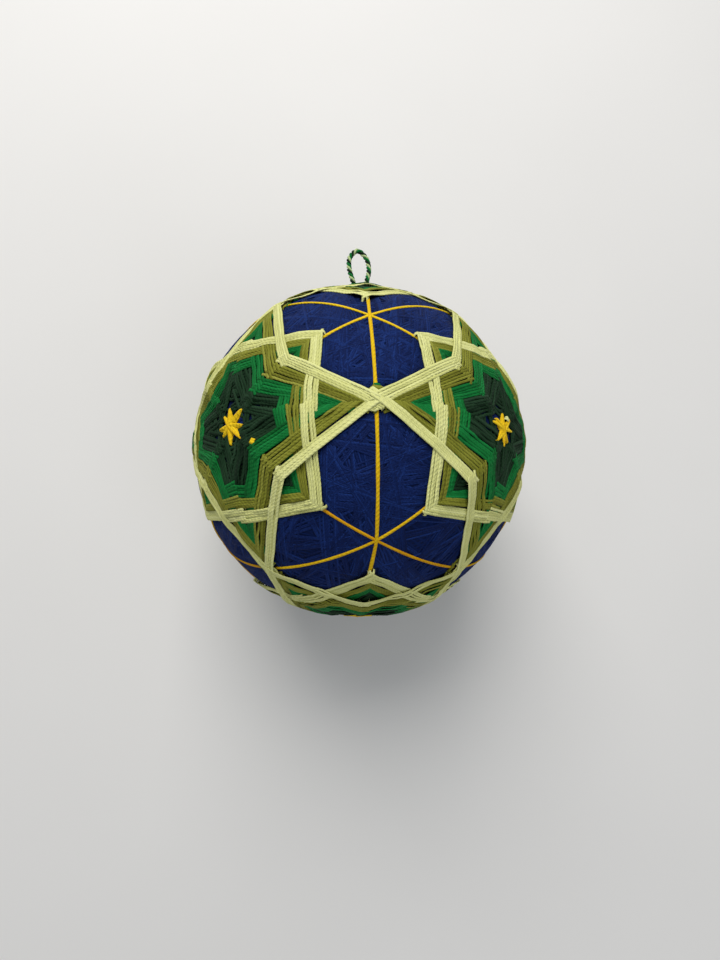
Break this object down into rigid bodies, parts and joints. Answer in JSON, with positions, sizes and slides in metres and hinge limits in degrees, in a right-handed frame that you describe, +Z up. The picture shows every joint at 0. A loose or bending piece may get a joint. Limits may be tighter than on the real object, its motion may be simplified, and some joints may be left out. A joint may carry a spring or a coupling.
{
  "type": "temari ball",
  "caption": "Thread-wound temari ball covered in interlaced eight-pointed stars of stitched thread, with a small hanging loop.",
  "frame": {"origin": "on the surface the ball rests on, under the middle of the ball's box without the hanging loop", "axes": "+Z up through the band crossing that the picture shows nearest, +Y out through the star that carries the hanging loop, +X to the picture's right"},
  "size_m": [0.08, 0.0947, 0.0795],
  "materials": {
    "navy_thread": "fine wound sewing thread, matt with a slight sheen",
    "dark_thread": "dark green cotton thread",
    "green_thread": "green cotton thread with a soft sheen",
    "olive_thread": "olive cotton thread",
    "pale_thread": "pale yellow-green cotton thread with a soft sheen",
    "gold_thread": "golden yellow twisted cotton thread",
    "loop_cord": "twisted cord of green and pale green thread"
  },
  "bodies": {
    "root": {"ball": "navy_thread", "centre_back": "gold_thread", "centre_front": "gold_thread", "centre_lower_left": "gold_thread", "centre_lower_right": "gold_thread", "centre_upper_left": "gold_thread", "centre_upper_right": "gold_thread", "hanging_loop": "loop_cord", "marking_nnn": "gold_thread", "marking_nnp": "gold_thread", "marking_npn": "gold_thread", "marking_npp": "gold_thread", "marking_pnn": "gold_thread", "marking_pnp": "gold_thread", "marking_ppn": "gold_thread", "marking_ppp": "gold_thread", "star_back_dark": "dark_thread", "star_back_green": "green_thread", "star_back_olive": "olive_thread", "star_back_pale": "pale_thread", "star_front_dark": "dark_thread", "star_front_green": "green_thread", "star_front_olive": "olive_thread", "star_front_pale": "pale_thread", "star_lower_left_dark": "dark_thread", "star_lower_left_green": "green_thread", "star_lower_left_olive": "olive_thread", "star_lower_left_pale": "pale_thread", "star_lower_right_dark": "dark_thread", "star_lower_right_green": "green_thread", "star_lower_right_olive": "olive_thread", "star_lower_right_pale": "pale_thread", "star_upper_left_dark": "dark_thread", "star_upper_left_green": "green_thread", "star_upper_left_olive": "olive_thread", "star_upper_left_pale": "pale_thread", "star_upper_right_dark": "dark_thread", "star_upper_right_green": "green_thread", "star_upper_right_olive": "olive_thread", "star_upper_right_pale": "pale_thread"}
  },
  "joints": []
}
